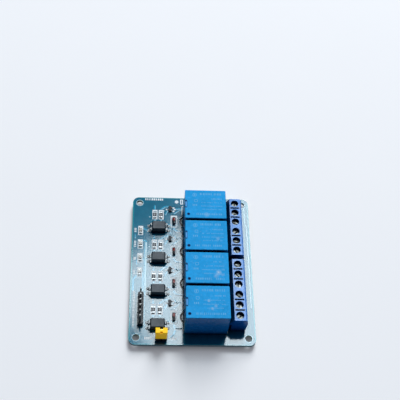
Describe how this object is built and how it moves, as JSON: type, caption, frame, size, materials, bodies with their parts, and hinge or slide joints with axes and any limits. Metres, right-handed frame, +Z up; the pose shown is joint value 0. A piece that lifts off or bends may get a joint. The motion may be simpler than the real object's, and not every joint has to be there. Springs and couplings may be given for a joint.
{
  "type": "relay module board",
  "caption": "Circuit board with a row of sealed relays, screw terminals along one side, opto-isolated driver channels, a pin header and a jumper.",
  "frame": {"origin": "under the board's centre, on the surface that the solder tails stand on", "axes": "+X from the control header to the terminals, +Y to the rear along the board's length, +Z up out of the component side"},
  "size_m": [0.0554, 0.0758, 0.0193],
  "materials": {
    "board": "glossy blue-green solder mask over laminate",
    "relay_case": "moulded blue, fine satin top",
    "relay_base": "dark moulded base and sealing resin",
    "tinned_pin": "tinned copper",
    "terminal_housing": "moulded deep blue",
    "contact_strip": "tinned brass",
    "clamp_steel": "zinc-plated steel",
    "screw_steel": "bright zinc-plated steel",
    "black_resin": "black moulding resin",
    "component_lead": "tin-plated lead frame",
    "chip_body": "black glazed film on ceramic",
    "chip_end": "tin-plated end",
    "red_glass": "orange-red glass with a dark band",
    "diode_end": "tin-plated cap",
    "lamp_base": "white ceramic-filled resin",
    "lamp_lens": "clear resin lens",
    "lamp_end": "gold-plated end",
    "header_base": "black moulded nylon",
    "header_pin": "tin-plated brass pin",
    "jumper_cap": "yellow moulded plastic",
    "jumper_clip": "phosphor bronze spring",
    "solder": "bright solder"
  },
  "bodies": {
    "root": {"circuit_board": "board", "relay_case_1": "relay_case", "relay_case_2": "relay_case", "relay_case_3": "relay_case", "relay_case_4": "relay_case", "relay_base_1": "relay_base", "relay_base_2": "relay_base", "relay_base_3": "relay_base", "relay_base_4": "relay_base", "relay_pins_1": "tinned_pin", "relay_pins_2": "tinned_pin", "relay_pins_3": "tinned_pin", "relay_pins_4": "tinned_pin", "terminal_housing_1": "terminal_housing", "terminal_housing_2": "terminal_housing", "terminal_housing_3": "terminal_housing", "terminal_housing_4": "terminal_housing", "terminal_contacts_1": "contact_strip", "terminal_contacts_2": "contact_strip", "terminal_contacts_3": "contact_strip", "terminal_contacts_4": "contact_strip", "clamp_cages_1": "clamp_steel", "clamp_cages_2": "clamp_steel", "clamp_cages_3": "clamp_steel", "clamp_cages_4": "clamp_steel", "clamp_screws_1": "screw_steel", "clamp_screws_2": "screw_steel", "clamp_screws_3": "screw_steel", "clamp_screws_4": "screw_steel", "optocoupler_1": "black_resin", "optocoupler_2": "black_resin", "optocoupler_3": "black_resin", "optocoupler_4": "black_resin", "optocoupler_leads_1": "component_lead", "optocoupler_leads_2": "component_lead", "optocoupler_leads_3": "component_lead", "optocoupler_leads_4": "component_lead", "chip_resistors": "chip_body", "resistor_caps": "chip_end", "transistors": "black_resin", "transistor_leads": "component_lead", "diode_glasses": "red_glass", "diode_caps": "diode_end", "indicator_bases": "lamp_base", "indicator_lenses": "lamp_lens", "indicator_caps": "lamp_end", "control_header": "header_base", "control_pins": "header_pin", "jumper_header": "header_base", "jumper_pins": "header_pin", "jumper_cap": "jumper_cap", "jumper_clip": "jumper_clip", "relay_solder": "solder", "terminal_solder": "solder", "header_solder": "solder"}
  },
  "joints": []
}
